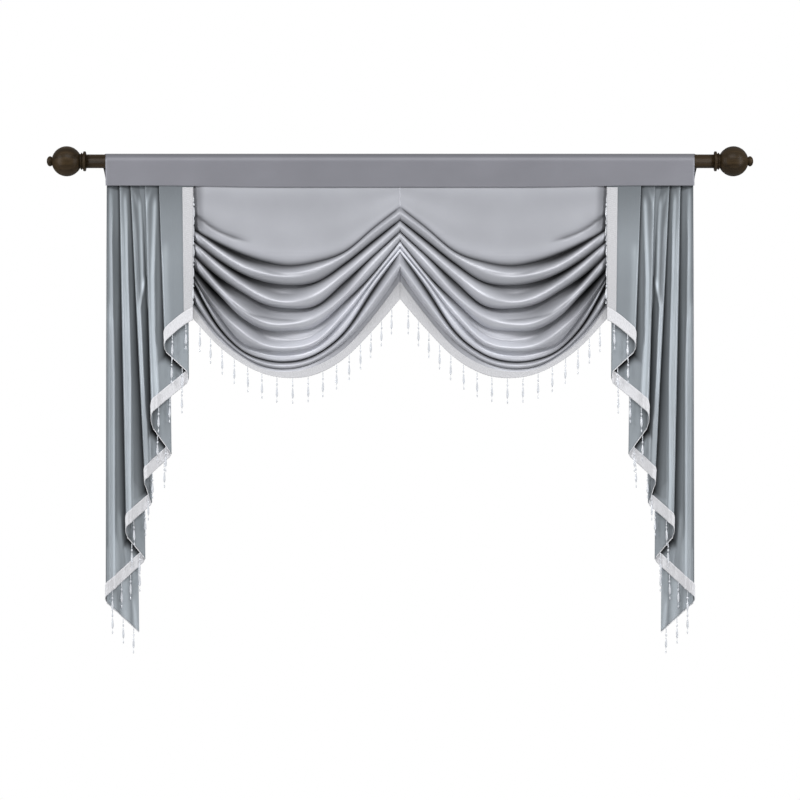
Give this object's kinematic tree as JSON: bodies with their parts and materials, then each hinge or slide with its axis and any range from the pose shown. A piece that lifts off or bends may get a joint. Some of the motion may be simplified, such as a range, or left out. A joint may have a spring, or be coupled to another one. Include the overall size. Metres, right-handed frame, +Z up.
{
  "type": "swag valance on a curtain rod",
  "caption": "Satin swag valance with a rod-pocket header, pleated side cascades and beaded braid, hung on a wooden curtain rod with ball finials.",
  "frame": {"origin": "on the rod's axis, at the middle of its length", "axes": "+X along the rod, to the right as seen from the room; +Y from the room towards the wall; +Z up"},
  "size_m": [1.8018, 0.08, 1.2973],
  "materials": {
    "wood": "satin",
    "satin": "satin",
    "header_satin": "satin",
    "braid": "matte",
    "bead": "gloss"
  },
  "bodies": {
    "root": {"rod": "wood", "finial_left": "wood", "finial_right": "wood", "header_band": "header_satin", "swag_left": "satin", "swag_right": "satin", "tail_left": "satin", "tail_right": "satin", "swag_trim_left": "braid", "swag_trim_right": "braid", "tail_trim_left": "braid", "tail_trim_right": "braid"}
  },
  "joints": []
}
